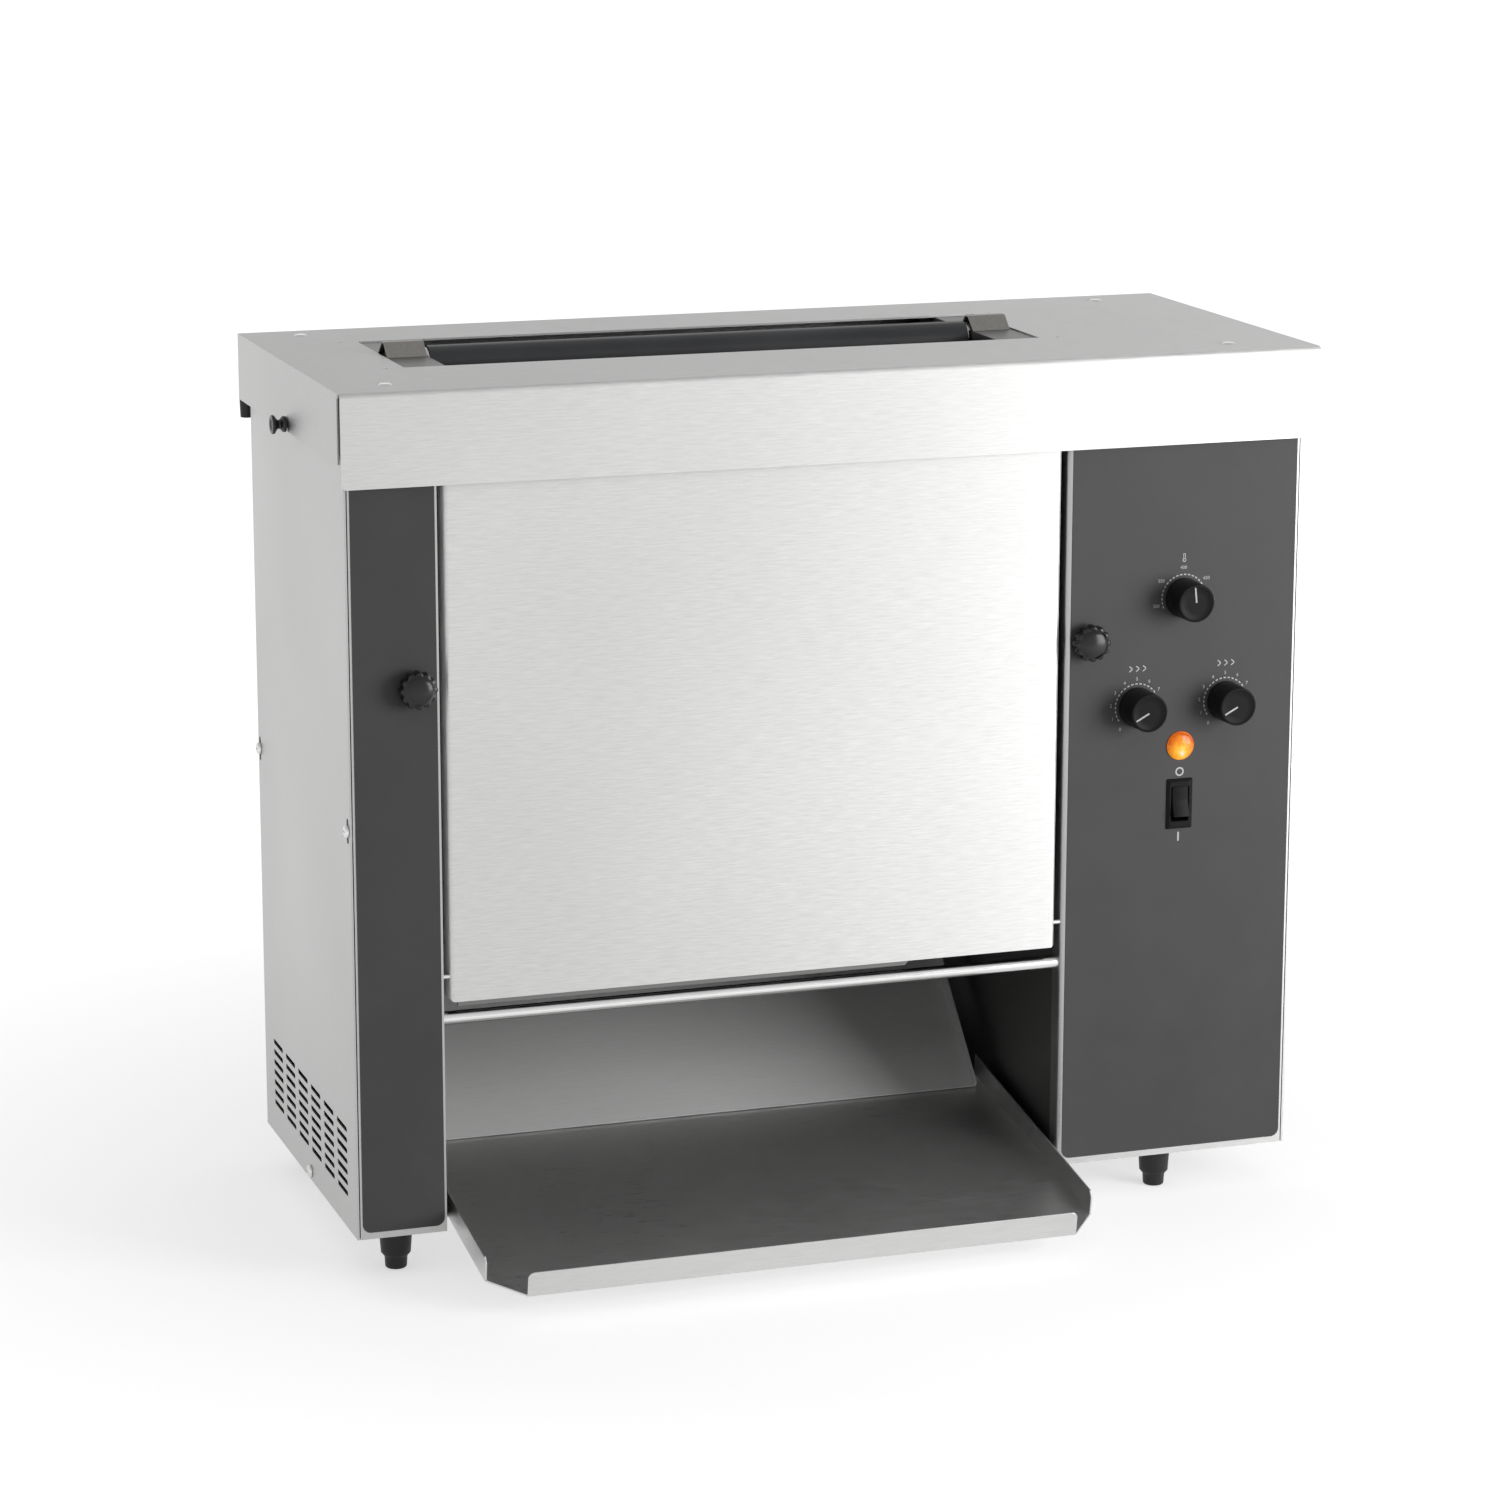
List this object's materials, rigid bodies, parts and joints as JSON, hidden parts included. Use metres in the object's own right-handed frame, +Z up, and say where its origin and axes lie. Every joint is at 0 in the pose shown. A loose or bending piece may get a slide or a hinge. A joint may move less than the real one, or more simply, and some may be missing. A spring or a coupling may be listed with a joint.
{
  "type": "vertical bun toaster",
  "caption": "Counter-top vertical bun toaster with a lift-off cover, two belts beside a heated platen, a drop-down door and a sloping pull-out tray.",
  "frame": {"origin": "on the counter, midway between the cover's two sides and midway between the tray's lip and the cover's rear", "axes": "+X to the right seen from the front, +Y to the rear, +Z up"},
  "size_m": [0.618, 0.346, 0.5274],
  "materials": {
    "body_steel": "fine brushed grain, satin",
    "cover_steel": "fine brushed grain along the width, satin",
    "door_steel": "brushed grain across the width, satin",
    "inner_steel": "mill finish, satin",
    "tray_steel": "brushed grain across the tray, satin",
    "chute_steel": "brushed, satin",
    "bright_steel": "polished",
    "clip_steel": "worn satin",
    "overlay_grey": "fine texture, matte",
    "knob_black": "glossy moulding",
    "grip_black": "satin moulding",
    "adjuster_black": "black enamel over metal, glossy",
    "foot_rubber": "matte",
    "belt_rubber": "fine cross ribs, matte",
    "aluminium": "machined, satin",
    "heater_steel": "heat-darkened",
    "release_cloth": "coated glass cloth, low sheen",
    "amber_lens": "clear amber moulding",
    "motor_grey": "satin paint",
    "board_green": "lacquered"
  },
  "bodies": {
    "frame": {"base_pan": "body_steel", "feet": "foot_rubber", "left_side_panel": "body_steel", "right_side_panel": "body_steel", "rear_panel": "body_steel", "left_inner_wall": "inner_steel", "right_inner_wall": "inner_steel", "left_front_panel": "body_steel", "left_front_overlay": "overlay_grey", "control_panel": "body_steel", "control_overlay": "overlay_grey", "side_panel_screws": "bright_steel", "discharge_chute": "chute_steel", "guard_rod": "bright_steel", "tray_rails": "inner_steel", "door_pins": "bright_steel", "left_conveyor_plate": "inner_steel", "right_conveyor_plate": "inner_steel", "plate_standoffs": "aluminium", "platen": "aluminium", "platen_mounts": "aluminium", "heating_elements": "heater_steel", "hanger_bar": "aluminium", "release_sheet": "release_cloth", "left_sheet_clip": "clip_steel", "right_sheet_clip": "clip_steel", "rear_belt": "belt_rubber", "front_gear_motor": "motor_grey", "rear_gear_motor": "motor_grey", "control_pots": "grip_black", "pilot_lens": "amber_lens", "pilot_body": "grip_black", "switch_frame": "knob_black", "control_board": "board_green", "fan_frame": "grip_black", "cord_gland": "grip_black"},
    "cover": {"top_cover": "cover_steel", "cover_rivets": "bright_steel", "rear_bumpers": "foot_rubber"},
    "tray": {"bun_tray": "tray_steel"},
    "door": {"front_door": "door_steel", "door_liner": "inner_steel"},
    "carriage": {"carriage_left_plate": "inner_steel", "carriage_right_plate": "inner_steel", "carriage_tie_bar": "aluminium", "front_belt": "belt_rubber"},
    "front_drive": {"front_drive_roller": "aluminium"},
    "front_idler": {"front_idler_roller": "aluminium"},
    "rear_drive": {"rear_drive_roller": "aluminium"},
    "rear_idler": {"rear_idler_roller": "aluminium"},
    "left_adjuster": {"left_adjuster_knob": "adjuster_black"},
    "right_adjuster": {"right_adjuster_knob": "adjuster_black"},
    "temperature_dial": {"temperature_knob": "knob_black"},
    "front_speed_dial": {"front_speed_knob": "knob_black"},
    "rear_speed_dial": {"rear_speed_knob": "knob_black"},
    "rocker": {"power_rocker": "knob_black"},
    "left_thumb": {"left_thumb_screw": "grip_black"},
    "right_thumb": {"right_thumb_screw": "grip_black"},
    "fan": {"fan_rotor": "grip_black"}
  },
  "joints": [
    {"name": "cover_lift", "type": "slide", "parent": "frame", "child": "cover", "axis": [0, 0, 1], "range_m": [0, 0.12]},
    {"name": "tray_pull", "type": "slide", "parent": "frame", "child": "tray", "axis": [0, -0.9877, -0.1564], "range_m": [0, 0.07]},
    {"name": "door_swing", "type": "hinge", "parent": "frame", "child": "door", "pos_m": [-0.052, -0.0798, 0.1784], "axis": [1, 0, 0], "range_deg": [0, 90]},
    {"name": "carriage_tilt", "type": "hinge", "parent": "frame", "child": "carriage", "pos_m": [-0.0425, -0.01185, 0.194], "axis": [-1, 0, 0], "range_deg": [0, 2.3]},
    {"name": "front_drive_spin", "type": "hinge", "parent": "frame", "child": "front_drive", "pos_m": [-0.0425, -0.01185, 0.194], "axis": [1, 0, 0], "continuous": true},
    {"name": "front_idler_spin", "type": "hinge", "parent": "carriage", "child": "front_idler", "pos_m": [-0.0425, -0.01185, 0.484], "axis": [1, 0, 0], "continuous": true},
    {"name": "rear_drive_spin", "type": "hinge", "parent": "frame", "child": "rear_drive", "pos_m": [-0.0425, 0.12285, 0.194], "axis": [1, 0, 0], "continuous": true},
    {"name": "rear_idler_spin", "type": "hinge", "parent": "frame", "child": "rear_idler", "pos_m": [-0.0425, 0.12285, 0.484], "axis": [1, 0, 0], "continuous": true},
    {"name": "left_adjuster_turn", "type": "hinge", "parent": "frame", "child": "left_adjuster", "pos_m": [-0.2575, -0.091, 0.3504], "axis": [0, 1, 0], "range_deg": [0, 350]},
    {"name": "right_adjuster_turn", "type": "hinge", "parent": "frame", "child": "right_adjuster", "pos_m": [0.1535, -0.091, 0.3504], "axis": [0, 1, 0], "range_deg": [0, 350]},
    {"name": "temperature_turn", "type": "hinge", "parent": "frame", "child": "temperature_dial", "pos_m": [0.21475, -0.091, 0.373], "axis": [0, 1, 0], "range_deg": [-129, 141]},
    {"name": "front_speed_turn", "type": "hinge", "parent": "frame", "child": "front_speed_dial", "pos_m": [0.186, -0.091, 0.3082], "axis": [0, 1, 0], "range_deg": [-17, 253]},
    {"name": "rear_speed_turn", "type": "hinge", "parent": "frame", "child": "rear_speed_dial", "pos_m": [0.2435, -0.091, 0.3082], "axis": [0, 1, 0], "range_deg": [-17, 253]},
    {"name": "rocker_tip", "type": "hinge", "parent": "frame", "child": "rocker", "pos_m": [0.21475, -0.081, 0.2466], "axis": [1, 0, 0], "range_deg": [0, 20]},
    {"name": "left_thumb_turn", "type": "hinge", "parent": "frame", "child": "left_thumb", "pos_m": [-0.304, 0.043, 0.484], "axis": [1, 0, 0], "range_deg": [0, 360]},
    {"name": "right_thumb_turn", "type": "hinge", "parent": "frame", "child": "right_thumb", "pos_m": [0.304, 0.043, 0.484], "axis": [-1, 0, 0], "range_deg": [0, 360]},
    {"name": "fan_spin", "type": "hinge", "parent": "frame", "child": "fan", "pos_m": [0.21475, 0.138, 0.408], "axis": [0, 1, 0], "continuous": true}
  ],
  "couplings": [
    {"joint": "front_idler_spin", "follows": "front_drive_spin", "ratio": 1},
    {"joint": "rear_idler_spin", "follows": "rear_drive_spin", "ratio": 1},
    {"joint": "left_adjuster_turn", "follows": "carriage_tilt", "ratio": 150},
    {"joint": "right_adjuster_turn", "follows": "carriage_tilt", "ratio": 150}
  ]
}
